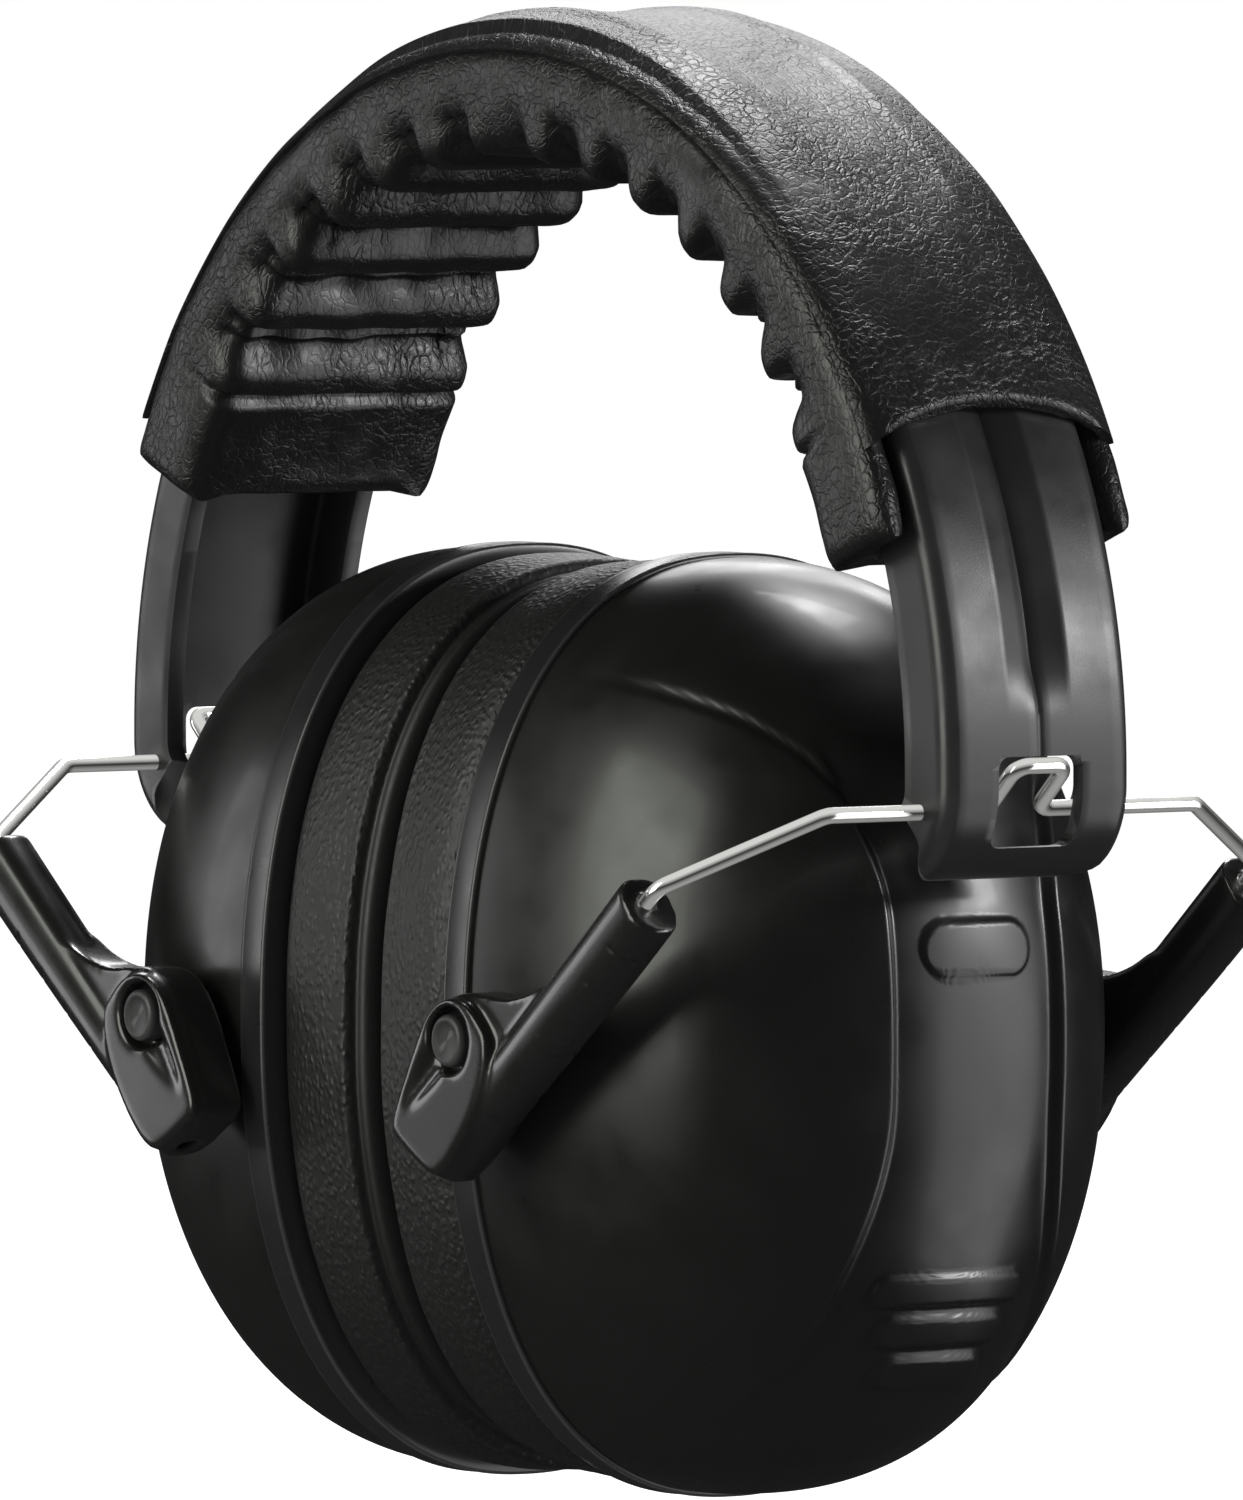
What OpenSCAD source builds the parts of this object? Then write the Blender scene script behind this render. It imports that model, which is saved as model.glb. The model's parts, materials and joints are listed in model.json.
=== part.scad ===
// Folding over-the-head hearing protection earmuffs with wire yokes and sliding arms.
// Frame: origin midway between the cups on the ear axis, +X to the right cup, -Y front, +Z up.
// Everything for one side is modelled on the left (-X) and mirrored for the right.

/* [Cups] */
// Height of the cup rim
rim_h = 105; // [95:0.5:112]
// Width of the cup rim, front to rear
rim_w = 72.8; // [68:0.2:74]
// Squareness of the rim outline (2 is an ellipse)
rim_square = 2.27; // [2:0.01:3]
// Distance from the middle plane to the cushion side of the rim
rim_near = 17.5; // [16:0.1:19]
// Thickness of the trim ring round the rim
trim_t = 4.5; // [3:0.1:5]
// Depth of the domed shell behind the trim ring
dome_depth = 45; // [41:0.5:46]
// Wall of the domed shell
shell_wall = 2.2; // [1.6:0.1:3]
// Gap left between the two facing cushions
cushion_gap = 3.2; // [2:0.1:5]
// Width of the ear opening in a cushion
ear_w = 40; // [34:0.5:44]
// Height of the ear opening in a cushion
ear_h = 66; // [56:0.5:72]

/* [Headband] */
// Outer radius of the band's arc
band_r = 79.3; // [78:0.1:82]
// Height of the arc's centre above the ear axis
band_cz = 30; // [28:0.5:34]
// Width of the band
band_w = 25; // [22:0.5:26]
// Thickness of the band's outer wall
web_t = 1.8; // [1.4:0.1:2.5]
// Depth of the band's side flanges
flange_d = 8; // [7:0.1:9]
// Thickness of the band's side flanges
flange_t = 2.2; // [1.6:0.1:3]
// Angle from horizontal at which the crown and the ends of the band meet
shoulder_angle = 45; // [40:1:50]
// Angle from horizontal of the cover's hems
cover_angle = 28.7; // [26:0.1:32]
// Angle from horizontal of the pad's ends
pad_angle = 20; // [18:0.5:24]
// Width of the pad
pad_w = 35.2; // [33:0.2:38]
// Thickness of the pad under the band
pad_t = 6; // [5:0.1:7]

/* [Yoke and arms] */
// Distance of the yoke hinge from the middle plane
hinge_x = 73.9; // [73:0.1:75]
// Height of the yoke hinge above the ear axis
hinge_z = 26; // [25:0.1:27]
// Wire diameter
wire_d = 1.8; // [1.6:0.1:2]
// Slope of the yoke below horizontal
yoke_angle = 39.9; // [38:0.1:42]
// Distance from the middle plane to the wire's legs, front to rear
leg_y = 40.8; // [40.6:0.1:42]
// Half length of the wire's straight hinge run
run_y = 24.9; // [22:0.1:27]
// Length of one arm's tube
tube_l = 47; // [44:0.5:50]
// Radius of one arm's tube
tube_r = 3.2; // [2.8:0.1:3.2]
// Radius of a pivot pin's shaft
pin_r = 2; // [1.6:0.1:2.2]
// Radius of a pivot pin's head
pin_head_r = 2.9; // [2.7:0.1:3.1]

/* [Hidden] */
$fn = 64;
clearance = 0.05;
// centre of the cup pivots in the yoke's own frame: along the legs and above them
pivot_s = 50.2;
pivot_n = 8.3;
tube_start = 15.2;
tube_end = tube_start + tube_l;
leg_end = 46;
// outline and dome resolution
outline_pts = 64;
dome_pts = 40;
dome_rings = 10;
// curve of the dome: how fast it rises from the rim and how late it narrows
dome_bulge = 0.91;
dome_narrow = 0.83;
rim_far = rim_near + trim_t;
half_w = rim_w / 2;
half_h = rim_h / 2;
// the shell stands a little inside the trim ring
shell_inset = 0.5;
trim_band = 5.1;
wire_r = wire_d / 2;
bend_r = 2.6;
crank_bend_r = 1.7;
// a bend of the wire is a touch fuller than the straight wire that enters it
bend_swell = 0.03;
bend_overlap = 0.2;
// the band's lower end turns inward round a small radius
toe_r = 11;
toe_angle = 66;
toe_cx = band_r - toe_r;
toe_cz = band_cz - 1.5;
// window in the band's end for the wire's crank
window_w = 11;
window_low = 22;
window_high = 32.2;
crank_half = 3.4;
crank_out = 5.6;
crank_up = 5;
// arm plate and pivot, front to rear
plate_in = 38;
plate_out = 42.6;
seat_y = 40.6;
seat_r = 3.7;
head_y = 44.8;
boss_y = 37.4;
boss_in = 32.6;
boss_r = 5.5;
collar_r = 2.7;
collar_t = 1.2;
eye_r = 4.6;

// ---- helpers ----

// signed power, for superellipse outlines
function spow(v, e) = sign(v) * pow(abs(v), e);

// superellipse outline with the given half width and half height
function outline(w, h, pts) = [
    for (i = [0 : pts - 1])
        let (a = 360 * i / pts)
        [w * spow(cos(a), 2 / rim_square), h * spow(sin(a), 2 / rim_square)]
];

// a plate of the 2D child standing in the YZ plane, between two distances from the middle plane
module slab(near, far) {
    translate([-far, 0, 0])
        rotate([90, 0, 90])
            linear_extrude(far - near)
                children();
}

module oval(w, h) {
    polygon(outline(w, h, outline_pts));
}

module oval_ring(w, h, inner_w, inner_h) {
    difference() {
        oval(w, h);
        oval(inner_w, inner_h);
    }
}

// sweeps a profile drawn as [radius, y] round the band's centre between two angles from horizontal
module arc(from, to, cx = 0, cz = band_cz) {
    translate([cx, 0, cz])
        rotate([90, -from, 0])
            rotate_extrude(angle = to - from, $fn = 128)
                children();
}

// the yoke's own frame on the left side: X runs down the legs, Z away from them, up and inward
module yoke_frame() {
    translate([-hinge_x, 0, hinge_z])
        rotate([0, yoke_angle, 0])
            children();
}

// an upright cylinder laid along Y between two distances, at a place in the XZ plane
module along_y(r, y0, y1) {
    translate([0, y0, 0])
        rotate([-90, 0, 0])
            cylinder(r = r, h = y1 - y0);
}

function unit(v) = v / norm(v);

// distance from a corner of the wire to the start of its bend
function bend_reach(a, p, b, r) =
    let (half = acos(unit(a - p) * unit(b - p)) / 2)
    r / tan(half);

// a straight piece of wire between two points
module wire(a, b) {
    d = b - a;
    translate(a)
        rotate([0, acos(d.z / norm(d)), atan2(d.y, d.x)])
            cylinder(r = wire_r, h = norm(d));
}

// the round bend of the wire at corner p, on its way from a to b
module bend(a, p, b, r) {
    u = unit(a - p);
    v = unit(b - p);
    reach = bend_reach(a, p, b, r);
    centre = p + unit(u + v) * norm([r, reach]);
    ex = unit(p + reach * u - centre);
    e2 = unit(p + reach * v - centre);
    ez = unit(cross(ex, e2));
    ey = cross(ez, ex);
    multmatrix([
        [ex.x, ey.x, ez.x, centre.x],
        [ex.y, ey.y, ez.y, centre.y],
        [ex.z, ey.z, ez.z, centre.z],
        [0, 0, 0, 1]
    ])
        rotate_extrude(angle = acos(ex * e2))
            translate([r, 0])
                circle(r = wire_r + bend_swell, $fn = 32);
}

// wire through a list of corners, each with its own bend radius; the ends have none
module bent_wire(points, radii) {
    last = len(points) - 1;
    reach = [
        for (i = [0 : last])
            i == 0 || i == last ? 0 : bend_reach(points[i - 1], points[i], points[i + 1], radii[i])
    ];
    for (i = [0 : last - 1]) {
        d = unit(points[i + 1] - points[i]);
        start = i == 0 ? 0 : reach[i] - bend_overlap;
        end = i == last - 1 ? 0 : reach[i + 1] - bend_overlap;
        wire(points[i] + d * start, points[i + 1] - d * end);
    }
    for (i = [1 : last - 1])
        bend(points[i - 1], points[i], points[i + 1], radii[i]);
}

module mirrored() {
    mirror([1, 0, 0])
        children();
}

// ---- headband ----

// U-shaped section of the band, open towards the head
module band_section(r) {
    translate([r - web_t, -band_w / 2])
        square([web_t, band_w]);
    for (side = [-1, 1])
        translate([r - flange_d, side * (band_w - flange_t) / 2 - flange_t / 2])
            square([flange_d, flange_t]);
}

module headband_crown() {
    color([0.09, 0.09, 0.09])
        arc(shoulder_angle, 180 - shoulder_angle)
            band_section(band_r);
}

// lower end of the band, with the hinge holes for the wire and the window for its crank
module band_end() {
    color([0.09, 0.09, 0.09])
        difference() {
            union() {
                arc(180 - shoulder_angle, 181)
                    band_section(band_r);
                arc(179, 180 + toe_angle, -toe_cx, toe_cz)
                    band_section(toe_r);
            }
            translate([-hinge_x, 0, hinge_z])
                along_y(wire_r + clearance, -band_w, band_w);
            translate([-band_r - 2, -window_w / 2, window_low])
                cube([8, window_w, window_high - window_low]);
        }
}

// padded strip between the band and the head, with a lip beside each flange
module headband_pad() {
    gap = 0.4;
    inner = band_r - flange_d - pad_t;
    lip_y = band_w / 2 + gap;
    color([0.07, 0.07, 0.07])
        arc(pad_angle, 180 - pad_angle) {
            translate([inner, -pad_w / 2])
                square([pad_t - gap, pad_w]);
            for (side = [-1, 1])
                translate([inner, side > 0 ? lip_y : -pad_w / 2])
                    square([pad_t + 5.6, pad_w / 2 - lip_y]);
        }
}

// leatherette sleeve over the outside of the band, crowned across its width
module headband_cover() {
    rise = 2;
    under = band_r + 0.1;
    half = pad_w / 2 - 0.8;
    color([0.08, 0.08, 0.08])
        arc(cover_angle, 180 - cover_angle)
            polygon([
                [under, -band_w / 2], [under - 1.9, -half + 1.6], [under - 1.9, -half],
                [under - 0.4, -half + 0.2], [under + 1, -half + 3.6], [under + rise, 0],
                [under + 1, half - 3.6], [under - 0.4, half - 0.2], [under - 1.9, half],
                [under - 1.9, half - 1.6], [under, band_w / 2]
            ]);
}

// ---- yoke, arms and pins ----

// one bent spring wire: hinge run with a crank in its middle, sloping shoulders and two legs
module yoke_wire() {
    // the crank leans out of the band while the yoke slopes, so it is placed in the yoke's frame
    out = -crank_out * cos(yoke_angle) - crank_up * sin(yoke_angle);
    up = -crank_out * sin(yoke_angle) + crank_up * cos(yoke_angle);
    shoulder_s = tube_start - 3;
    corners = [
        [leg_end, -leg_y, 0], [shoulder_s, -leg_y, 0], [0, -run_y, 0],
        [0, -crank_half, 0], [out, -crank_half, up],
        [out, crank_half, up], [0, crank_half, 0],
        [0, run_y, 0], [shoulder_s, leg_y, 0], [leg_end, leg_y, 0]
    ];
    r = bend_r;
    c = crank_bend_r;
    color([0.75, 0.75, 0.77])
        yoke_frame()
            bent_wire(corners, [0, r, r, c, c, c, c, r, r, 0]);
}

// arm on one side of the cup: a tube that slides on the wire and an eye plate for the pivot pin
module arm(side) {
    color([0.05, 0.05, 0.05])
        yoke_frame()
            difference() {
                union() {
                    translate([tube_start, side * leg_y, 0])
                        rotate([0, 90, 0])
                            cylinder(r = tube_r, h = tube_l);
                    translate([0, side > 0 ? plate_out : -plate_in, 0])
                        rotate([90, 0, 0])
                            linear_extrude(plate_out - plate_in)
                                arm_plate();
                }
                translate([0, side * leg_y, 0])
                    rotate([0, 90, 0])
                        cylinder(r = wire_r + clearance, h = tube_end + 1);
                translate([pivot_s, 0, pivot_n]) {
                    along_y(pin_r + clearance, min(0, side * 60), max(0, side * 60));
                    along_y(seat_r, min(side * seat_y, side * 60), max(side * seat_y, side * 60));
                }
            }
}

// outline of the eye plate in the yoke's frame
module arm_plate() {
    difference() {
        union() {
            translate([pivot_s, pivot_n])
                circle(r = eye_r);
            polygon([
                [tube_end - 34, 0.6], [tube_end - 34, 2.8], [tube_end - 27, 5.5], [tube_end - 22, 6.3],
                [pivot_s - 3.8, pivot_n + 3.2], [pivot_s + 1, pivot_n + 4.6],
                [pivot_s + 7, pivot_n + 3.2], [tube_end + 1, pivot_n + 0.8],
                [tube_end + 3.1, pivot_n - 0.8], [tube_end - 0.6, -1]
            ]);
        }
        // keeps the plate off the wire's bore
        translate([0, -20 - wire_r - 0.6])
            square([80, 20]);
    }
}

// shouldered pin: head in the arm's seat, shaft through the arm and the shell's boss, snap collar
module pivot_pins() {
    color([0.12, 0.12, 0.12])
        yoke_frame()
            translate([pivot_s, 0, pivot_n])
                for (side = [-1, 1])
                    mirror([0, side < 0 ? 0 : 1, 0]) {
                        along_y(pin_head_r, -head_y, -seat_y - 0.1);
                        along_y(pin_r, -seat_y - 0.2, -boss_in + 0.2);
                        along_y(collar_r, -boss_in + 0.1, -boss_in + 0.1 + collar_t);
                    }
}

// ---- cup ----

// one ring of dome points: a runs from 0 at the rim to 90 at the apex
function dome_ring(a, w, h, depth) = [
    for (p = outline(w * pow(cos(a), dome_narrow), h * pow(cos(a), dome_narrow), dome_pts))
        [-rim_far - depth * pow(sin(a), dome_bulge), p.x, p.y]
];

function dome_points(w, h, depth) = [
    for (j = [0 : dome_rings - 1])
        each dome_ring(90 * j / dome_rings, w, h, depth),
    [-rim_far - depth, 0, 0]
];

// triangles between two neighbouring rings of points, flipped for the inside
function strip(j, i, base, inside) =
    let (
        k = (i + 1) % dome_pts,
        a = base + j * dome_pts + i,
        b = base + j * dome_pts + k,
        c = a + dome_pts,
        d = b + dome_pts
    )
    inside ? [[a, d, b], [a, c, d]] : [[a, b, d], [a, d, c]];

function cap(i, base, inside) =
    let (
        a = base + (dome_rings - 1) * dome_pts + i,
        b = base + (dome_rings - 1) * dome_pts + (i + 1) % dome_pts,
        tip = base + dome_rings * dome_pts
    )
    inside ? [a, tip, b] : [a, b, tip];

module dome_wall() {
    w = half_w - shell_inset;
    h = half_h - shell_inset;
    second = dome_rings * dome_pts + 1;
    polyhedron(
        points = concat(
            dome_points(w, h, dome_depth),
            dome_points(w - shell_wall, h - shell_wall, dome_depth - shell_wall)
        ),
        faces = concat(
            [for (j = [0 : dome_rings - 2], i = [0 : dome_pts - 1]) each strip(j, i, 0, false)],
            [for (i = [0 : dome_pts - 1]) cap(i, 0, false)],
            [for (j = [0 : dome_rings - 2], i = [0 : dome_pts - 1]) each strip(j, i, second, true)],
            [for (i = [0 : dome_pts - 1]) cap(i, second, true)],
            [
                for (i = [0 : dome_pts - 1])
                    let (k = (i + 1) % dome_pts)
                    each [[i, second + k, k], [i, second + i, second + k]]
            ]
        ),
        convexity = 4
    );
}

// hard domed shell with a bored boss on each side for the pivot pins
module outer_shell() {
    color([0.03, 0.03, 0.03])
        difference() {
            union() {
                dome_wall();
                yoke_frame()
                    translate([pivot_s, 0, pivot_n]) {
                        along_y(boss_r, -boss_y, -boss_in);
                        along_y(boss_r, boss_in, boss_y);
                    }
            }
            yoke_frame()
                translate([pivot_s, 0, pivot_n])
                    along_y(pin_r + clearance, -boss_y - 1, boss_y + 1);
        }
}

// flat ring round the rim, between the shell and the cushion
module trim_ring() {
    color([0.1, 0.1, 0.1])
        slab(rim_near, rim_far)
            oval_ring(half_w, half_h, half_w - trim_band, half_h - trim_band);
}

// stiff backing ring that clips the cushion into the trim ring
module cushion_ring() {
    color([0.15, 0.15, 0.15])
        slab(rim_near, rim_near + 1.9)
            oval_ring(
                half_w - trim_band - 0.2, half_h - trim_band - 0.2,
                ear_w / 2 + 1, ear_h / 2 + 1
            );
}

// soft foam-filled cushion round the ear
module ear_cushion() {
    front = cushion_gap / 2;
    shoulder = 4;
    color([0.1, 0.1, 0.1]) {
        slab(front + shoulder, rim_near - 0.1)
            oval_ring(half_w - 1.6, half_h - 1.6, ear_w / 2, ear_h / 2);
        slab(front, front + shoulder)
            oval_ring(half_w - 4, half_h - 4, ear_w / 2 + 2, ear_h / 2 + 2);
    }
}

// thin cloth over the sound absorber, seen at the bottom of the ear opening
module dust_cloth() {
    color([0.2, 0.2, 0.2])
        slab(rim_near + 2, rim_near + 2.8)
            oval(half_w - trim_band - 0.4, half_h - trim_band - 0.4);
}

// block of sound-absorbing foam that fills the shell
module absorber_foam() {
    step_x = 38;
    end_x = 50;
    color([0.25, 0.25, 0.25]) {
        slab(rim_near + 2.9, step_x)
            oval(half_w - trim_band - 1.4, half_h - trim_band - 1.4);
        slab(step_x, end_x)
            oval(half_w - 11, half_h - 13.5);
    }
}

// ---- nodes ----

headband_crown();
headband_cover();
headband_pad();
band_end();  // left_band_end
yoke_wire();  // left_yoke_wire
arm(-1);  // left_front_arm
arm(1);  // left_rear_arm
pivot_pins();  // left_pivot_pins
outer_shell();  // left_outer_shell
trim_ring();  // left_trim_ring
cushion_ring();  // left_cushion_ring
ear_cushion();  // left_ear_cushion
dust_cloth();  // left_dust_cloth
absorber_foam();  // left_absorber_foam
mirrored() band_end();  // right_band_end
mirrored() yoke_wire();  // right_yoke_wire
mirrored() arm(-1);  // right_front_arm
mirrored() arm(1);  // right_rear_arm
mirrored() pivot_pins();  // right_pivot_pins
mirrored() outer_shell();  // right_outer_shell
mirrored() trim_ring();  // right_trim_ring
mirrored() cushion_ring();  // right_cushion_ring
mirrored() ear_cushion();  // right_ear_cushion
mirrored() dust_cloth();  // right_dust_cloth
mirrored() absorber_foam();  // right_absorber_foam
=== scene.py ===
"""Looks of the folding hearing protection earmuffs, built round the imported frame.

Lengths inside this script are millimetres in the row's frame and become metres when a mesh is made.
Shapes of one side are built on the right (+X) and mirrored for the left.
"""

import json
import math

import bmesh
import bpy
import numpy as np
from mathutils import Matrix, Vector, noise


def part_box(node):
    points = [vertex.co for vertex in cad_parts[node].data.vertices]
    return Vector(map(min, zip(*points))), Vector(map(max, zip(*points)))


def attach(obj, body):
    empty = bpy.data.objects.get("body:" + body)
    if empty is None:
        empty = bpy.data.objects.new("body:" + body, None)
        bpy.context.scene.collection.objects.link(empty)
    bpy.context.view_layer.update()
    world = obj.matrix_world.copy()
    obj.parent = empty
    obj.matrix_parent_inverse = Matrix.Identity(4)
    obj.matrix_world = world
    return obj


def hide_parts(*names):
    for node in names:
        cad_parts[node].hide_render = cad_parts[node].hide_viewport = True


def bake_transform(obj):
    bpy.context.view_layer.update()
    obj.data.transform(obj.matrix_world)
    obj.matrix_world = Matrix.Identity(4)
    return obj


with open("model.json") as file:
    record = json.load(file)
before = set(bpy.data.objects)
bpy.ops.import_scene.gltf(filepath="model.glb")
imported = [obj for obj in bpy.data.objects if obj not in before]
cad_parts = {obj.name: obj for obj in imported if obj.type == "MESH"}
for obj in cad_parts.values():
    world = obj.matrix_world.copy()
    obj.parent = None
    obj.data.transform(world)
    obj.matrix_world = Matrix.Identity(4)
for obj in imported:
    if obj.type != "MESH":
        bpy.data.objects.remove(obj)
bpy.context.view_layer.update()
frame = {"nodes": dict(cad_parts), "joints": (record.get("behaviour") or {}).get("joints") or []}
MM = 0.001


# ---- sizes from the frame

def corner(node, which):
    """Lowest (0) or highest (1) corner of a CAD node, in millimetres."""
    return np.array(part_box(node)[which]) / MM


def joint(name, key):
    """What the frame holds about a joint: its place in metres (pos_m) or its axis."""
    found = [j for j in frame["joints"] if j["name"] == name]
    return np.array(found[0][key], float)


RIM_NEAR = corner("right_trim_ring", 0)[0]
RIM_FAR, RIM_W, RIM_H = corner("right_trim_ring", 1)
SHELL_STEP = 0.5  # from the trim ring's edge in to the shell's
SHELL_W, SHELL_H = RIM_W - SHELL_STEP, RIM_H - SHELL_STEP
DOME = corner("right_outer_shell", 1)[0] - RIM_FAR
SQUARE = 2.27  # exponent of the cup's superellipse outline, 2 for an ellipse
CUSHION_FRONT = 0.5  # the cushion's start before it swells, from the middle plane
CUSHION_W, CUSHION_H = corner("right_ear_cushion", 1)[1:]
SEAM_AT = 2.4  # the welded edge, behind the cushion's front
CONTACT_GAP = 0.12  # between each cushion and the middle plane
BAND_R, BAND_HALF = corner("right_band_end", 1)[:2]
BAND_CZ = corner("headband_crown", 1)[2] - BAND_R
PAD_HALF = corner("headband_pad", 1)[1]
SHOULDER = joint("right_band_flex", "pos_m") / MM
HINGE = joint("right_yoke_fold", "pos_m") / MM
PIVOT = joint("right_cup_tilt", "pos_m") / MM
LEG = joint("right_arm_slide", "axis")
LIFT = np.array([LEG[2], 0, -LEG[0]])
PIVOT_ALONG = float((PIVOT - HINGE) @ LEG)
PIVOT_LIFT = float((PIVOT - HINGE) @ LIFT)
ARM_OUT = -corner("right_front_arm", 0)[1]
ARM_IN = -corner("right_front_arm", 1)[1]
LEG_Y = (ARM_OUT + ARM_IN) / 2
YOKE_RUN = 24.9  # half length of the wire's hinge run
PIN_HEAD = corner("right_pivot_pins", 1)[1]


# ---- mesh helpers

def spow(v, e):
    """Power that keeps the sign."""
    return np.sign(v) * np.abs(v) ** e


def smooth(t):
    """Soft step from 0 at t = 0 to 1 at t = 1."""
    t = np.clip(t, 0, 1)
    return t * t * (3 - 2 * t)


def unit(v):
    """Vectors brought to length 1."""
    return v / (np.linalg.norm(v, axis=-1, keepdims=True) + 1e-12)


def turn_angles(count):
    """Angles evenly round a full turn."""
    return np.linspace(0, 2 * math.pi, count, endpoint=False)


def rounded_outline(points, cuts=3):
    """Rounds a closed outline by cutting its corners again and again (Chaikin)."""
    p = np.asarray(points, float)
    for _ in range(cuts):
        q = np.roll(p, -1, 0)
        p = np.stack([0.75 * p + 0.25 * q, 0.25 * p + 0.75 * q], 1).reshape(-1, 2)
    return p


def oval(angles, w, h, square=SQUARE):
    """Superellipse outline: y and z for each angle."""
    return w * spow(np.cos(angles), 2 / square), h * spow(np.sin(angles), 2 / square)


def set_tex(mesh, places):
    """Shades a mesh smooth and keeps a texture place for each vertex, in millimetres."""
    mesh.polygons.foreach_set("use_smooth", [True] * len(mesh.polygons))
    old = mesh.attributes.get("tex")
    if old:
        mesh.attributes.remove(old)
    attribute = mesh.attributes.new("tex", "FLOAT_VECTOR", "POINT")
    attribute.data.foreach_set("vector", np.asarray(places, np.float32).ravel())


def make_object(name, verts, faces, tex=None):
    """A mesh object from millimetre vertices; tex is a texture place per vertex, in millimetres."""
    mesh = bpy.data.meshes.new(name)
    mesh.from_pydata((np.asarray(verts, float) * MM).tolist(), [], faces)
    mesh.validate()
    set_tex(mesh, verts if tex is None else tex)
    obj = bpy.data.objects.new(name, mesh)
    bpy.context.scene.collection.objects.link(obj)
    return obj


def grid_faces(nu, nv, wrap_u=False, wrap_v=False):
    """Quads of a grid whose vertex (i, j) has index i * nv + j."""
    faces = []
    for i in range(nu if wrap_u else nu - 1):
        for j in range(nv if wrap_v else nv - 1):
            a, b = i, (i + 1) % nu
            c, d = j, (j + 1) % nv
            faces.append((a * nv + c, b * nv + c, b * nv + d, a * nv + d))
    return faces


def tube(name, rings, tex=None, closed=False, hollow=False):
    """Skins a list of equal loops: rings has shape (steps, loop points, 3). A closed tube joins its
    last loop to its first. Else a hollow (concave) loop is shut by one flat face, a round one by a fan."""
    rings = np.asarray(rings, float)
    steps, loop = rings.shape[:2]
    faces = grid_faces(steps, loop, wrap_u=closed, wrap_v=True)
    verts = rings.reshape(-1, 3)
    places = verts if tex is None else np.asarray(tex, float).reshape(-1, 3)
    if hollow:
        faces.append(tuple(range(loop)))
        faces.append(tuple(range((steps - 1) * loop, steps * loop))[::-1])
    elif not closed:
        for first, flip in ((0, False), ((steps - 1) * loop, True)):
            ring = verts[first:first + loop]
            verts = np.vstack([verts, ring.mean(0)])
            places = np.vstack([places, places[first:first + loop].mean(0)])
            tip = len(verts) - 1
            for i in range(loop):
                a, b = first + i, first + (i + 1) % loop
                faces.append((a, b, tip) if flip else (b, a, tip))
    obj = make_object(name, verts, faces, places)
    outward(obj)
    return obj


def outward(obj):
    """Makes the faces of a closed mesh point outward."""
    bm = bmesh.new()
    bm.from_mesh(obj.data)
    bmesh.ops.recalc_face_normals(bm, faces=bm.faces)
    bm.to_mesh(obj.data)
    bm.free()


def vertex_places(mesh):
    """Vertex places in millimetres."""
    co = np.zeros(len(mesh.vertices) * 3)
    mesh.vertices.foreach_get("co", co)
    return co.reshape(-1, 3) / MM


def set_places(mesh, places):
    """Moves the vertices to places in millimetres."""
    mesh.vertices.foreach_set("co", (np.asarray(places) * MM).ravel())
    mesh.update()


def push(obj, height):
    """Moves each vertex along its normal by height(vertex places), in millimetres."""
    mesh = obj.data
    places = vertex_places(mesh)
    normals = np.array([v.normal for v in mesh.vertices])
    set_places(mesh, places + normals * height(places)[:, None])


def apply_modifiers(obj):
    """Replaces the object's mesh by its evaluated mesh and clears its modifiers."""
    depsgraph = bpy.context.evaluated_depsgraph_get()
    mesh = bpy.data.meshes.new_from_object(obj.evaluated_get(depsgraph))
    obj.modifiers.clear()
    obj.data = mesh


def add(obj, kind, **settings):
    """Adds a modifier with its settings."""
    modifier = obj.modifiers.new(kind.lower(), kind)
    for key, value in settings.items():
        setattr(modifier, key, value)


def sharp_by_angle(obj, degrees):
    """Smooth shading that breaks at edges sharper than the angle."""
    mesh = obj.data
    mesh.polygons.foreach_set("use_smooth", [True] * len(mesh.polygons))
    mesh.set_sharp_from_angle(angle=math.radians(degrees))
    return obj


def boolean(obj, other, operation):
    """Cuts or joins another closed mesh into the object and removes it."""
    add(obj, "BOOLEAN", object=other, operation=operation, solver="EXACT")
    apply_modifiers(obj)
    bpy.data.objects.remove(other)


def bevel(obj, width, segments, angle):
    """Rounds the edges sharper than the angle; width in millimetres."""
    limit = math.radians(angle)
    add(obj, "BEVEL", width=width * MM, segments=segments, limit_method="ANGLE", angle_limit=limit)
    apply_modifiers(obj)


def mirror_image(obj, name, axis=0):
    """A mirror image of the object across the middle plane, or from front to rear with axis 1."""
    copy = obj.copy()
    copy.data = obj.data.copy()
    copy.name = name
    copy.data.name = name
    bpy.context.scene.collection.objects.link(copy)
    co = vertex_places(copy.data)
    co[:, axis] *= -1
    set_places(copy.data, co)
    copy.data.flip_normals()
    return copy


# ---- materials

MATERIALS = {}  # by slot


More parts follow.
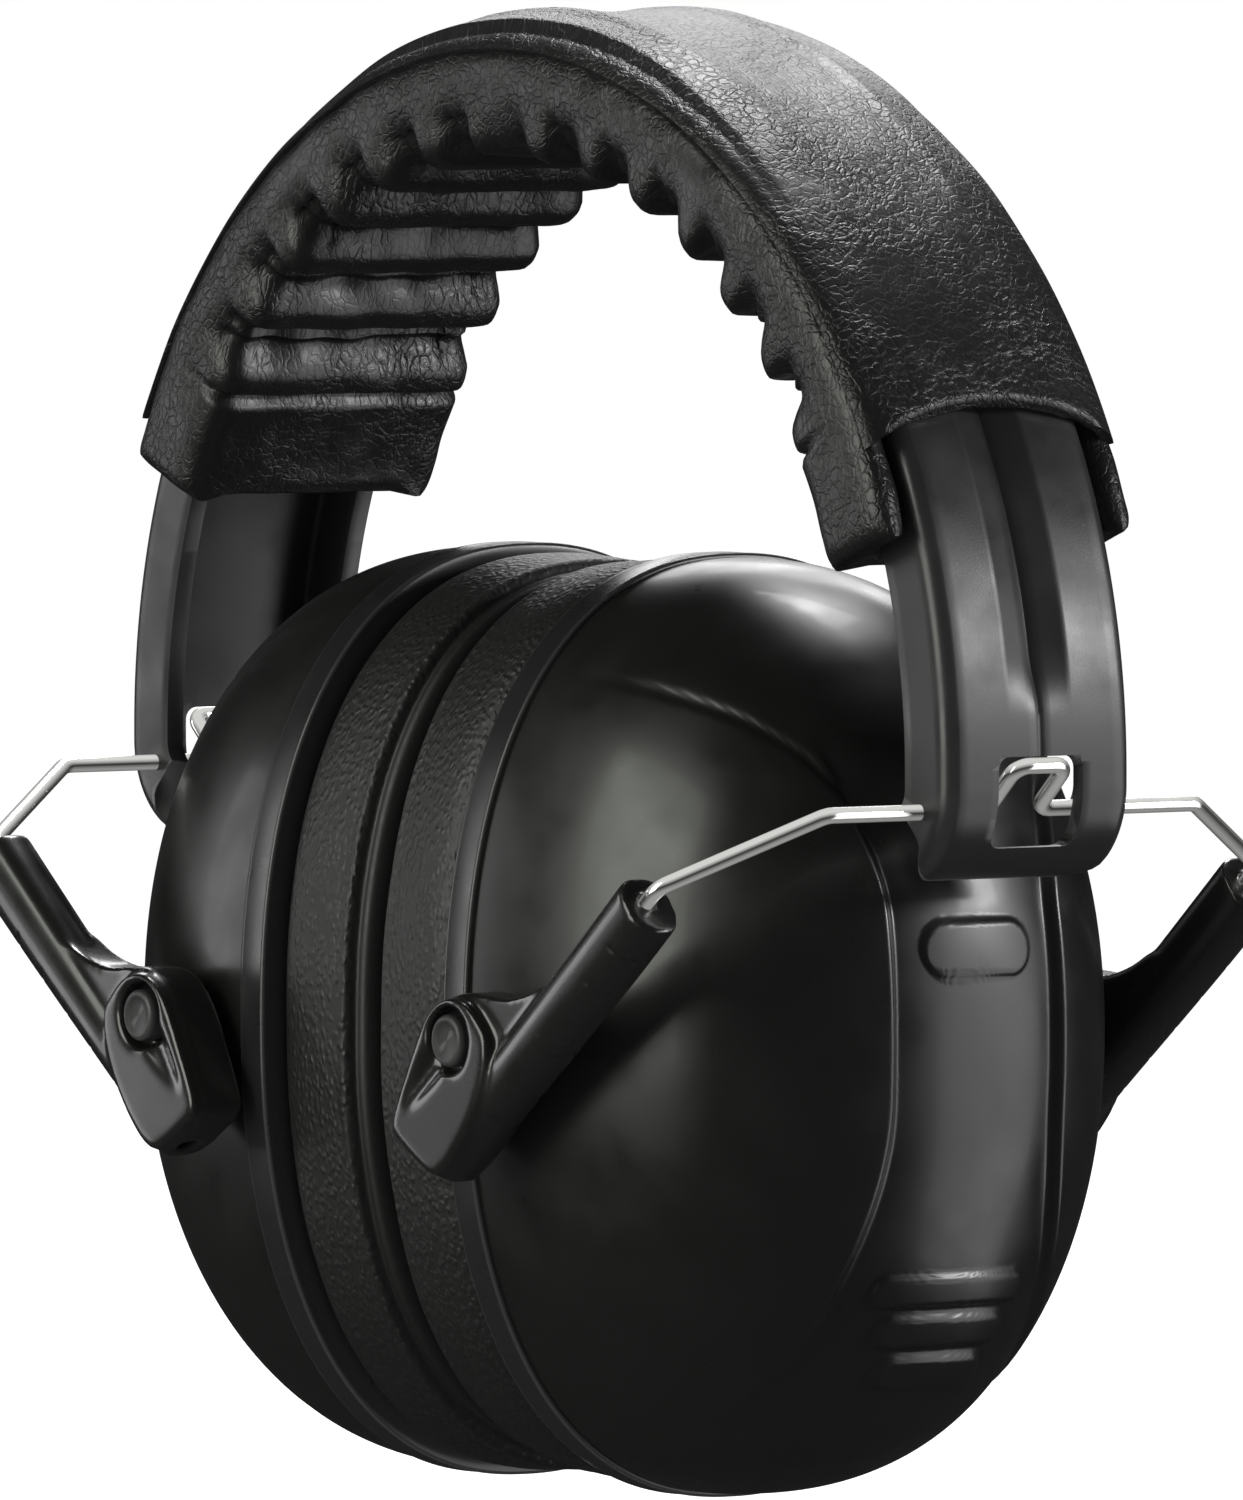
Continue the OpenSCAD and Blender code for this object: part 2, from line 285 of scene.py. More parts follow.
class Material:
    """A node material being built. Its helpers take node outputs or plain values."""

    def __init__(self, slot):
        self.data = bpy.data.materials.new(slot)
        self.data.use_nodes = True
        MATERIALS[slot] = self.data

    def feed(self, socket, value):
        """Links an output to a node's input, or gives the input a plain value."""
        if isinstance(value, bpy.types.NodeSocket):
            self.data.node_tree.links.new(value, socket)
        else:
            socket.default_value = value

    def node(self, kind, inputs=None, **settings):
        """Adds a node with its settings and inputs."""
        node = self.data.node_tree.nodes.new(kind)
        for key, value in settings.items():
            setattr(node, key, value)
        for key, value in (inputs or {}).items():
            self.feed(node.inputs[key], value)
        return node

    def surface(self, **inputs):
        """Feeds the surface shader, whose input names are written with _ for spaces."""
        shader = self.data.node_tree.nodes["Principled BSDF"]
        for key, value in inputs.items():
            self.feed(shader.inputs[key.replace("_", " ")], value)

    def place(self, stretch=(1, 1, 1)):
        """Texture place of a piece in millimetres, stretched."""
        source = self.node("ShaderNodeAttribute", attribute_name="tex")
        values = {"Vector": source.outputs["Vector"], "Scale": stretch}
        return self.node("ShaderNodeMapping", values).outputs["Vector"]

    def cad_place(self):
        """Texture place of a CAD node in millimetres."""
        source = self.node("ShaderNodeTexCoord")
        values = {"Vector": source.outputs["Object"], "Scale": (1 / MM, 1 / MM, 1 / MM)}
        return self.node("ShaderNodeMapping", values).outputs["Vector"]

    def noise(self, at, scale, detail=2.0, rough=0.5, output="Fac"):
        """Cloudy noise."""
        values = {"Vector": at, "Scale": scale, "Detail": detail, "Roughness": rough}
        return self.node("ShaderNodeTexNoise", values).outputs[output]

    def warped(self, at, scale, rough, amount):
        """A place moved about by noise, so that even cells come out irregular."""
        moves = self.noise(at, scale, rough=rough, output="Color")
        shift = self.node("ShaderNodeVectorMath", {0: moves, "Scale": amount}, operation="SCALE")
        moved = self.node("ShaderNodeVectorMath", {0: at, 1: shift.outputs["Vector"]}, operation="ADD")
        return moved.outputs["Vector"]

    def cells(self, at, scale, feature="DISTANCE_TO_EDGE", **more):
        """Cell pattern, by the distance from each cell's edge or, for the others, its middle."""
        values = {"Vector": at, "Scale": scale, **more}
        return self.node("ShaderNodeTexVoronoi", values, feature=feature).outputs["Distance"]

    def maths(self, operation, a, b):
        """A sum or product."""
        return self.node("ShaderNodeMath", {0: a, 1: b}, operation=operation).outputs["Value"]

    def ramp(self, source, low, high, from_min=0.0, from_max=1.0):
        """Maps a value from one range to another, clamped."""
        values = {"Value": source, "From Min": from_min, "From Max": from_max, "To Min": low, "To Max": high}
        return self.node("ShaderNodeMapRange", values).outputs["Result"]

    def mix(self, factor, low, high):
        """A colour between two others."""
        values = {"Factor": factor, "A": (*low, 1), "B": (*high, 1)}
        return self.node("ShaderNodeMix", values, data_type="RGBA").outputs["Result"]

    def bump(self, height, depth, **before):
        """Normal of a relief of some depth in millimetres, laid over another Normal if given."""
        values = {"Height": height, "Strength": 1.0, "Distance": depth * MM, **before}
        return self.node("ShaderNodeBump", values).outputs["Normal"]


def plastic(name, color, rough, grain=0.02, coat=0.0, cad=False, edge_wear_and_highlight=0.04):
    """Moulded plastic: fine grain, cloudy gloss and edges a little lighter, partly from rubbing and partly as
    a painted highlight where edges catch the light.
    """
    m = Material(name)
    at = m.cad_place() if cad else m.place()
    edge = m.node("ShaderNodeNewGeometry").outputs["Pointiness"]
    worn_and_lit_edges = m.ramp(edge, 0.0, 1.0, 0.52, 0.58)
    lighter = tuple(c + edge_wear_and_highlight for c in color)
    m.surface(
        # Base colour lighter on sharp edges: partly rubbing, partly a painted edge highlight.
        Base_Color=m.mix(worn_and_lit_edges, color, lighter),
        Roughness=m.ramp(m.noise(at, 0.12, 4.0), rough * 0.8, rough * 1.25, 0.3, 0.7),
        Normal=m.bump(m.noise(at, 3.5, 5.0, 0.6), grain),
        Coat_Weight=coat,
        Coat_Roughness=0.08,
    )


def leather(name, cell, depth, rough, crinkle):
    """Black leatherette: irregular flat cells parted by thin creases, finer creases and soft wrinkles;
    painted shade darkens the creases a little.
    """
    m = Material(name)
    at = m.place()
    moved = m.warped(at, 0.45 / cell, 0.55, cell * 2.2)
    creases = m.ramp(m.cells(moved, 1 / cell), 0.0, 1.0, 0.0, 0.16)
    fine = m.ramp(m.cells(moved, 2.3 / cell), 0.0, 0.25, 0.0, 0.14)
    patches = m.ramp(m.noise(at, 0.07), 0.3, 1.0, 0.38, 0.6)
    relief = m.maths("MULTIPLY", m.maths("ADD", creases, fine), patches)
    m.surface(
        # Base colour a little darker in the creases: painted shade.
        Base_Color=m.mix(relief, (0.005, 0.005, 0.005), (0.0065, 0.0065, 0.0067)),
        Roughness=m.ramp(creases, rough + 0.06, rough),
        Normal=m.bump(relief, depth, Normal=m.bump(m.noise(at, 0.12), crinkle)),
    )


def pebbled(name, cell, depth, rough):
    """Thin black skin embossed with small raised pebbles, smooth on its rolled front edge; its colour holds a
    painted highlight on the pebbles and painted shade between them.
    """
    m = Material(name)
    at = m.place((1, 1, 0.72))
    cells = m.cells(m.warped(at, 0.9, 0.5, 0.7), 1 / cell, "SMOOTH_F1", Smoothness=0.5)
    raised = m.ramp(cells, 1.0, 0.0, 0.05, 0.6)
    x = m.node("ShaderNodeSeparateXYZ", {"Vector": at}).outputs["X"]
    edge = CUSHION_FRONT + SEAM_AT
    relief = m.maths("MULTIPLY", raised, m.ramp(x, 0.08, 1.0, edge - 0.3, edge + 0.7))
    m.surface(
        # Base colour: raised pebbles painted lighter, the hollows between them and the smooth front roll
        # painted darker, as painted highlight and shade.
        Base_Color=m.mix(relief, (0.006, 0.006, 0.006), (0.010, 0.0103, 0.010)),
        Roughness=m.ramp(raised, rough + 0.1, rough),
        Normal=m.bump(relief, depth),
    )


def steel(name):
    """Polished spring wire with faint lengthwise draw marks. Its reflection is painted in as emission that
    follows the
    reflected direction: bright above and below a dark horizon, as in a bright studio."""
    m = Material(name)
    marks = m.noise(m.place((0.15, 3.0, 1.0)), 2.0, 4.0, 0.6)
    mirrored = m.node("ShaderNodeTexCoord").outputs["Reflection"]
    up = m.node("ShaderNodeSeparateXYZ", {"Vector": mirrored}).outputs["Z"]
    painted_reflection = m.maths("ADD", m.ramp(up, 0.0, 1.0, -0.05, 0.75), m.ramp(up, 0.45, 0.0, -0.9, -0.25))
    m.surface(
        Metallic=1.0,
        Base_Color=m.mix(marks, (0.55, 0.55, 0.54), (0.75, 0.75, 0.74)),
        # Painted reflection: the wire glows where its reflected direction points up or steeply down.
        Emission_Color=m.mix(painted_reflection, (0.03, 0.03, 0.03), (0.62, 0.62, 0.6)),
        Emission_Strength=1.0,
        Roughness=m.ramp(marks, 0.14, 0.26, 0.3, 0.7),
        Normal=m.bump(marks, 0.008),
    )


def cloth(name):
    """Thin nonwoven cloth with a plain grid of threads."""
    m = Material(name)
    values = {"Vector": m.place(), "Scale": 1.4, "Distortion": 1.2, "Detail Scale": 2.0}
    threads = [m.node("ShaderNodeTexWave", values, bands_direction=way).outputs["Fac"] for way in "YZ"]
    weave = m.maths("ADD", *threads)
    m.surface(
        Base_Color=m.mix(weave, (0.02, 0.02, 0.021), (0.055, 0.055, 0.058)),
        Roughness=0.9,
        Sheen_Weight=0.3,
        Normal=m.bump(weave, 0.12),
    )


def foam(name):
    """Open-cell foam."""
    m = Material(name)
    pores = m.cells(m.place(), 0.9, "F1")
    m.surface(
        Base_Color=m.mix(pores, (0.16, 0.16, 0.165), (0.05, 0.05, 0.052)),
        Roughness=0.95,
        Normal=m.bump(pores, 0.5),
    )


SHELL_BLACK = (0.0065, 0.0067, 0.0063)
ARM_BLACK = (0.008, 0.008, 0.0078)
plastic("band_plastic", (0.012, 0.012, 0.0125), 0.34, grain=0.008)
plastic("shell_plastic", SHELL_BLACK, 0.32, grain=0.0004, coat=0.06, edge_wear_and_highlight=0.0)
plastic("trim_plastic", (0.011, 0.011, 0.0115), 0.3, grain=0.004)
plastic("arm_plastic", ARM_BLACK, 0.25, grain=0.0004, coat=0.3, edge_wear_and_highlight=0.004)
plastic("pin_plastic", (0.012, 0.012, 0.012), 0.38)
plastic("ring_plastic", (0.02, 0.02, 0.02), 0.5, cad=True)
leather("cover_leatherette", cell=1.15, depth=0.06, rough=0.38, crinkle=0.35)
leather("pad_leatherette", cell=1.2, depth=0.055, rough=0.36, crinkle=0.5)
pebbled("cushion_skin", cell=0.75, depth=0.11, rough=0.42)
steel("spring_wire")
cloth("dust_cloth")
foam("absorber_foam")


def give_material(obj, slot):
    """Gives a piece or CAD node the material that its slot is named for."""
    obj.data.materials.clear()
    obj.data.materials.append(MATERIALS[slot])


def finish(obj, slot, *bodies, blend=None):
    """Gives a piece its material and the body it rides on; a piece given blend only has its transform baked
    and rides on no body.
    """
    give_material(obj, slot)
    if blend:
        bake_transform(obj)
    else:
        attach(obj, *bodies)


# ---- headband

TOE_R = 11.0  # radius on which the band's end turns in
TOE_TURN = 66.0  # degrees
TOE_CX = BAND_R - TOE_R
TOE_CZ = BAND_CZ - 1.5
BAND_QUARTER = BAND_R * math.radians(90)
BAND_LEN = BAND_QUARTER + (BAND_CZ - TOE_CZ) + TOE_R * math.radians(TOE_TURN)
FLANGE = 8.0  # depth of the U section
FLANGE_WALL = 2.2
WALL = 1.8
WEB_Y = (9.6, 8.2, 6.8, 5.5, 4.6, 4.2, 3.8, 2.8, 1.6, 0.7, 0.25)  # rows across the web


def band_point(s, e, y):
    """A place on the right half of the band: s mm along its outer face from the crown,
    e mm under that face and y mm to the rear."""
    s, e, y = np.broadcast_arrays(*(np.asarray(v, float) for v in (s, e, y)))
    low = np.clip(s - BAND_QUARTER, 0, None)
    turn = np.clip(low - (BAND_CZ - TOE_CZ), 0, None) / TOE_R
    angle = math.pi / 2 - s / BAND_R
    r = BAND_R - e
    x = np.where(s < BAND_QUARTER, r * np.cos(angle), r)
    z = np.where(s < BAND_QUARTER, BAND_CZ + r * np.sin(angle), BAND_CZ - low)
    x = np.where(turn > 0, TOE_CX + (TOE_R - e) * np.cos(turn), x)
    z = np.where(turn > 0, TOE_CZ - (TOE_R - e) * np.sin(turn), z)
    return np.stack([x, y, z], -1)


def band_section():
    """Outer and inner paths of the U section, front to rear, as depth under the outer face and y."""
    corner_r, inner_r = 1.7, 0.6
    inner_y = BAND_HALF - FLANGE_WALL
    half = []
    for e in (FLANGE, 6.5, 5.0, 3.5, 2.6):
        half.append((e, BAND_HALF, e, inner_y))
    for k in range(5):
        a = math.radians(22.5 * k)
        outer = (corner_r * (1 - math.sin(a)), BAND_HALF - corner_r * (1 - math.cos(a)))
        inner = (WALL + inner_r * (1 - math.sin(a)), inner_y - inner_r * (1 - math.cos(a)))
        half.append(outer + inner)
    for y in WEB_Y:
        half.append((0.0, y, WALL, min(y, inner_y - inner_r - 0.1)))
    front = [(eo, -yo, ei, -yi) for eo, yo, ei, yi in half]
    return np.array(front + [(0.0, 0.0, WALL, 0.0)] + half[::-1])


def band_end_line(e, y):
    """Where the band stops along its length: rounded corners, and flanges shorter than the web."""
    front_r, rear_r, lip = 2.2, 5.5, 1.6
    radius = np.where(y < 0, front_r, rear_r)
    over = np.clip(np.abs(y) - (BAND_HALF - radius), 0, radius)
    return BAND_LEN - (radius - np.sqrt(radius ** 2 - over ** 2)) - lip * smooth((e - 1.9) / 1.0)


def build_band():
    """Right half of the headband spring: U section, V groove, turned-in toe and crank window."""
    section = band_section()
    count = len(section)
    e0 = np.concatenate([section[:, 0], section[::-1, 2]])
    y0 = np.concatenate([section[:, 1], section[::-1, 3]])
    outer = np.arange(2 * count) < count
    groove_half, groove_depth, groove_low = 4.2, 1.05, 36.5
    groove_end = BAND_R * math.acos((groove_low - BAND_CZ) / BAND_R)
    hold = BAND_QUARTER + 4.0
    rows = np.concatenate([np.linspace(0, hold, 170), np.linspace(hold, BAND_LEN, 30)[1:]])
    share = np.clip((rows - hold) / (BAND_LEN - hold), 0, 1)[:, None]
    s = np.minimum(rows, hold)[:, None] + share * (band_end_line(e0, y0) - hold)
    dip = groove_depth * np.clip(1 - np.abs(y0) / groove_half, 0, 1) * outer
    fade = 1 - smooth((s - groove_end + 7.0) / 7.0)
    crease = 0.18 * np.exp(-(y0 / 0.3) ** 2) * outer * (s < groove_end + 6)
    verts = band_point(s, e0 + dip * fade + crease, y0)
    tex = np.stack(np.broadcast_arrays(s, y0, e0), -1)
    faces = grid_faces(len(rows), 2 * count, wrap_v=True)
    for row in (0, len(rows) - 1):
        base = row * 2 * count
        for i in range(count - 1):
            quad = (base + i, base + i + 1, base + 2 * count - 2 - i, base + 2 * count - 1 - i)
            faces.append(quad if row else quad[::-1])
    obj = make_object("right_headband_spring", verts.reshape(-1, 3), faces, tex.reshape(-1, 3))
    outward(obj)
    boolean(obj, window_cutter(), "DIFFERENCE")
    bevel(obj, 0.35, 2, 40)
    return sharp_by_angle(obj, 50)


def window_cutter():
    """Rounded block that cuts the window for the wire's crank."""
    half, low, high, r = 5.7, 22.0, 32.0, 1.4
    centres = ((half - r, high - r), (r - half, high - r), (r - half, low + r), (half - r, low + r))
    loop = []
    for quarter, (y, z) in enumerate(centres):
        for a in np.radians(90 * quarter + np.linspace(0, 90, 6)):
            loop.append((y + r * math.cos(a), z + r * math.sin(a)))
    return tube("cutter", [[(x, y, z) for y, z in loop] for x in (BAND_R - 7.0, BAND_R + 3.0)])


# ---- pad and cover

def section_loop(points, per_mm=1.2):
    """Rounds a closed outline and returns evenly spaced points of it."""
    p = rounded_outline(points)
    closed = np.vstack([p, p[:1]])
    steps = np.linalg.norm(np.diff(closed, axis=0), axis=1)
    length = np.concatenate([[0], np.cumsum(steps)])
    at = np.linspace(0, length[-1], int(length[-1] * per_mm), endpoint=False)
    return np.stack([np.interp(at, length, closed[:, k]) for k in range(2)], 1)


def rib(u):
    """Rib height over one pitch, 0 in the valley to 1 on the ridge: a steep step, a round face
    and a slow fall with a soft second ridge in the valley."""
    u = np.mod(u, 1.0)
    rise = smooth(u / 0.2)
    fall = 1 - smooth((u - 0.42) / 0.36)
    face = 0.86 + 0.14 * np.sin(np.clip((u - 0.05) / 0.45, 0, 1) * math.pi)
    bead = 0.22 * np.exp(-((u - 0.86) / 0.05) ** 2)
    return rise * fall * face + bead


PAD_TOP = 90.0  # the crown, in degrees up round the band
PAD_END, PAD_END_FAR = 19.5, 23.5  # the pad's right and left ends
PAD_RIDGE_R = BAND_R - FLANGE - 5.4
PAD_UNDER_R = BAND_R - FLANGE - 0.35
PAD_LIP_R = BAND_R - 1.2
PAD_LIP_Y = BAND_HALF + 0.4
PAD_SIDE = PAD_HALF - 0.1
PITCH = 9.75
RIB_DEPTH = 3.0
CROWN_DIP = 1.2  # the depth that both halves' ribs come to where they meet


def rib_dip(d, left):
    """Depth of the pad's inside below its ribs' ridges, d from the crown and left from its end."""
    smooth_end = 12.0
    dip = RIB_DEPTH * (1 - rib((left - smooth_end) / PITCH)) * smooth((left - smooth_end) / 1.5)
    return CROWN_DIP + (dip - CROWN_DIP) * smooth(d / 6.0)


def pad_outline():
    """Section of the pad, a U with lips beside the band: radii and y."""
    half = [
        (PAD_UNDER_R, 9), (PAD_UNDER_R + 0.1, PAD_LIP_Y - 0.2), (PAD_UNDER_R + 2.5, PAD_LIP_Y),
        (PAD_LIP_R - 0.8, PAD_LIP_Y + 0.1), (PAD_LIP_R + 0.4, PAD_SIDE - 2.4), (PAD_LIP_R, PAD_SIDE - 0.6),
        (PAD_LIP_R - 3, PAD_SIDE), (PAD_RIDGE_R + 6, PAD_SIDE - 0.1), (PAD_RIDGE_R + 2, PAD_SIDE - 0.2),
        (PAD_RIDGE_R + 0.2, PAD_SIDE - 1.4), (PAD_RIDGE_R, PAD_SIDE - 4), (PAD_RIDGE_R, 8)
    ]
    front = [(r, -y) for r, y in half[::-1]]
    return section_loop(half + [(PAD_RIDGE_R, 0)] + front + [(PAD_UNDER_R, 0)]).T


def build_pad(end_angle=PAD_END):
    """Right half of the ribbed pad: a foam-filled U round the band with ribs across its inside."""
    r0, y0 = pad_outline()
    inner = smooth((PAD_RIDGE_R + 6.0 - r0) / 4.5)
    side_wall = smooth((PAD_LIP_R - 4.0 - r0) / 6.0) * (np.abs(y0) > PAD_LIP_Y)
    in_lip = np.abs(y0) > PAD_LIP_Y - 0.6
    core_r = np.where(in_lip, r0, (PAD_UNDER_R + PAD_RIDGE_R) / 2)
    core_y = np.where(in_lip, np.sign(y0) * (PAD_LIP_Y + PAD_SIDE) / 2, y0)
    total = math.radians(PAD_TOP - end_angle) * PAD_RIDGE_R
    round_end = 2.2
    rings, tex = [], []
    for d in np.linspace(0, total, int(total / 0.42)):
        left = total - d
        dip = rib_dip(d, left)
        uneven = 0.35 * np.sin(y0 * 0.35 + d * 0.21) + 0.2 * np.sin(y0 * 0.8 - d * 0.13)
        r = r0 + (dip + uneven * min(1.0, dip / RIB_DEPTH)) * inner
        y = y0 - np.sign(y0) * 0.42 * dip * side_wall
        if left < round_end:
            k = 0.3 + 0.7 * math.sqrt(1 - (1 - left / round_end) ** 2)
            r = core_r + (r - core_r) * k
            y = core_y + (y - core_y) * k
        angle = math.radians(PAD_TOP) - d / PAD_RIDGE_R
        rings.append(np.stack([r * math.cos(angle), y, BAND_CZ + r * math.sin(angle)], -1))
        tex.append(np.stack([np.full_like(r0, d), y0, r0], -1))
    obj = tube("right_headband_pad", rings, tex, hollow=True)
    ripple(obj, 0.25, 0.22)
    return sharp_by_angle(obj, 60)


def ripple(obj, amount, frequency, seed=3.0):
    """Small smooth unevenness of foam under a skin."""
    start = Vector((seed, 0, 0))
    push(obj, lambda at: amount * np.array([noise.noise(Vector(p) * frequency + start) for p in at]))


def build_cover():
    """Right half of the leatherette sleeve over the outside of the band, with a rolled hem."""
    half = PAD_HALF - 1.5
    outer = [(-1.3, half + 0.9), (-0.5, half + 0.6), (0.5, half - 0.6), (1.2, half - 3.0),
             (1.75, 10.0), (1.9, 6.2), (2.0, 0.0)]
    inner = [(0.9, 0.0), (0.9, 8.0), (0.12, 12.2), (-0.7, half - 1.1), (-1.5, half - 0.3)]
    front = [(rise, -y) for rise, y in outer] + outer[::-1][1:]
    loop = section_loop(front + inner[::-1] + [(rise, -y) for rise, y in inner[1:]], per_mm=1.6)
    rise, y0 = loop[:, 0], loop[:, 1]
    upper = rise > 0.4 + 0.5 * (np.abs(y0) > 12)
    crown_lift, end_side, end_middle, steps = 1.3, 27.2, 30.0, 170
    ridge = 0.35 * np.exp(-((np.abs(y0) - 8.6) / 1.3) ** 2) - 0.3 * np.exp(-(y0 / 4.0) ** 2)
    end = end_side + (end_middle - end_side) * (1 - (np.abs(y0) / half) ** 2)
    rings, tex = [], []
    for t in np.linspace(0, 1, steps):
        degrees = PAD_TOP + (end - PAD_TOP) * t
        angle = np.radians(degrees)
        left = (angle - np.radians(end)) * BAND_R
        roll = np.sqrt(1 - np.clip(1 - left / 0.9, 0, 1) ** 2)
        hem = 0.12 * np.exp(-((left - 1.0) / 0.9) ** 2)
        fuller = smooth((degrees - 40) / 45)
        lift = np.where(upper, crown_lift * fuller + ridge * (0.3 + fuller) + hem, 0)
        gape = 0.75 * smooth((7.0 - left) / 6.0) * np.clip(1 - (y0 / 12.0) ** 2, 0, 1)
        r = BAND_R + rise + lift - np.where(upper, 0.4 * (1 - roll), -gape)
        rings.append(np.stack([r * np.cos(angle), y0, BAND_CZ + r * np.sin(angle)], -1))
        tex.append(np.stack([np.radians(PAD_TOP - degrees) * BAND_R, y0, rise], -1))
    obj = tube("right_headband_cover", rings, tex, hollow=True)
    ripple(obj, 0.22, 0.08, seed=9.0)
    return sharp_by_angle(obj, 60)


# ---- yoke frame pieces

def yoke_point(along, lift, y):
    """A place in the right yoke's frame: along its legs, lifted off them, at y."""
    along, lift, y = np.broadcast_arrays(*(np.asarray(v, float) for v in (along, lift, y)))
    base = HINGE + along[..., None] * LEG + lift[..., None] * LIFT
    out = base.copy()
    out[..., 1] = y
    return out


def plate(name, outline, y_low, y_high):
    """A flat plate in the yoke's plane."""
    rings = [[yoke_point(along, lift, y) for along, lift in outline] for y in (y_low, y_high)]
    return tube(name, rings)


WIRE_R = 0.9
BORE_R = 1.05


def pivot_lathe(name, profile, count=48):
    """Turns a profile of (radius, y) round the pivot axis."""
    circle = [(math.cos(a), math.sin(a)) for a in turn_angles(count)]
    rings = [[yoke_point(PIVOT_ALONG + r * c, PIVOT_LIFT + r * s, y) for c, s in circle] for r, y in profile]
    return tube(name, rings)


def pin_ramp(face_y):
    """Cutter for the ramp that leads the pin from the flat end to its seat, shallower as it goes."""
    rings = []
    for t in np.linspace(0, 1, 8):
        along, lift = PIVOT_ALONG + 2.0 + 9.4 * t, PIVOT_LIFT - 0.9 * t
        width, deep = 2.4 * (1 - 0.45 * t), 1.5 * (1 - t)
        ring = []
        for a in turn_angles(20):
            y = face_y - 0.8 + (0.8 + deep) * max(0.0, math.sin(a)) - 0.5 * max(0.0, -math.sin(a))
            ring.append(yoke_point(along, lift + width * math.cos(a), y))
        rings.append(ring)
    return tube("ramp", rings)


def wire_bore(start, end):
    """Cutter for the hole the yoke wire slides in."""
    rings = []
    for along in (start, end):
        circle = [(BORE_R * math.cos(a), BORE_R * math.sin(a)) for a in turn_angles(28)]
        rings.append([yoke_point(along, lift, y - LEG_Y) for lift, y in circle])
    return tube("bore", rings)


def arm_tube(start, end_low, end_high):
    """The arm's oval tube, slimmer below toward its end and cut off at a slant."""
    half_y = (ARM_OUT - ARM_IN) / 2
    rings = []
    for t in np.linspace(0, 1, 30):
        low, high = -4.3 + 1.9 * smooth(t * 0.9), 3.3 + 0.3 * t
        ring = []
        for a in turn_angles(44):
            lift = (low + high) / 2 + (high - low) / 2 * spow(math.sin(a), 2 / 2.5)
            last = end_low + (lift - low) / 11.0 * (end_high - end_low)
            y = -LEG_Y + half_y * spow(math.cos(a), 2 / 2.6)
            ring.append(yoke_point(start + (last - start) * t, lift, y))
        rings.append(ring)
    return tube("right_front_arm_body", rings)


def mark_height(places):
    """Adjustment marks: fine lines cut across the tube's lower outer edge."""
    along = (places - HINGE) @ LEG
    lift = (places - HINGE) @ LIFT
    depth = sum(0.2 * np.exp(-((along - 20.0 - 6.0 * k) / 0.22) ** 2) for k in range(6))
    return -depth * smooth((-1.2 - lift) / 1.2) * (places[:, 1] < -LEG_Y - 0.4)


def build_arm():
    """Front right arm: oval tube with a flat end, raised eye plate, pin seat and adjustment marks."""
    start, end_low, end_high = 14.4, 62.2, 65.2
    face_y = -ARM_OUT - 0.6
    body = arm_tube(start, end_low, end_high)
    web = [
        (30, -1), (30, 2.6), (35, 3.6), (40.0, 6.0), (43.5, 9.4), (46.5, 12.2), (50.5, 13.4), (54.6, 12.7),
        (58.5, 11.0), (62.8, 9.2), (65.1, 7.9), (65.2, 6.0), (63.4, 0.8), (62.2, -1.6), (56, -2.2), (45, -1.4)
    ]
    face = [
        (44.2, 5.4), (45.0, 9.8), (47.8, 12.5), (51.4, 13.1), (55.0, 12.1), (59.2, 10.4), (62.9, 8.9),
        (65.0, 7.7), (65.1, 6.0), (63.3, 0.8), (61.8, -1.9), (57.6, -2.3), (51.5, -1.0), (47.0, 1.2),
        (44.6, 3.4)
    ]
    boolean(body, plate("web", rounded_outline(web), -ARM_OUT + 1.0, -ARM_IN - 0.1), "UNION")
    boolean(body, plate("face", rounded_outline(face), face_y, -ARM_IN - 2.0), "UNION")
    seat_r, hole_r = 3.75, 2.1
    boolean(body, pivot_lathe("seat", [(seat_r, face_y - 2), (seat_r, face_y + 2.2)]), "DIFFERENCE")
    boolean(body, pivot_lathe("hole", [(hole_r, face_y - 4), (hole_r, -ARM_IN + 4)]), "DIFFERENCE")
    boolean(body, pin_ramp(face_y), "DIFFERENCE")
    boolean(body, wire_bore(start - 3, end_high + 3), "DIFFERENCE")
    add(body, "REMESH", mode="VOXEL", voxel_size=0.26 * MM, use_smooth_shade=True)
    add(body, "SMOOTH", factor=0.5, iterations=26)
    apply_modifiers(body)
    push(body, mark_height)
    set_tex(body.data, vertex_places(body.data))
    return body


def build_wire():
    """Right yoke wire: a round spring wire bent through its hinge run, crank, shoulders and legs."""
    crank_y, crank_turn, crank_low, crank_up = 3.4, math.radians(39.9), -5.6, 5.0
    crank_s = crank_low * math.cos(crank_turn) - crank_up * math.sin(crank_turn)
    crank_n = crank_low * math.sin(crank_turn) + crank_up * math.cos(crank_turn)
    leg_end, shoulder_at = 46.0, 12.2
    half = [(leg_end, 0, -LEG_Y, 0), (shoulder_at, 0, -LEG_Y, 2.6), (0, 0, -YOKE_RUN, 2.6),
            (0, 0, -crank_y, 1.7), (crank_s, crank_n, -crank_y, 1.7)]
    corners = half + [(along, lift, -y, radius) for along, lift, y, radius in half[::-1]]
    places = [yoke_point(*c[:3]) for c in corners]
    path = [places[0]]
    for k in range(1, len(corners) - 1):
        path += rounded_corner(places[k - 1], places[k], places[k + 1], corners[k][3])
    path.append(places[-1])
    return sweep_round("right_yoke_wire_steel", even_path(path, 0.5), WIRE_R)


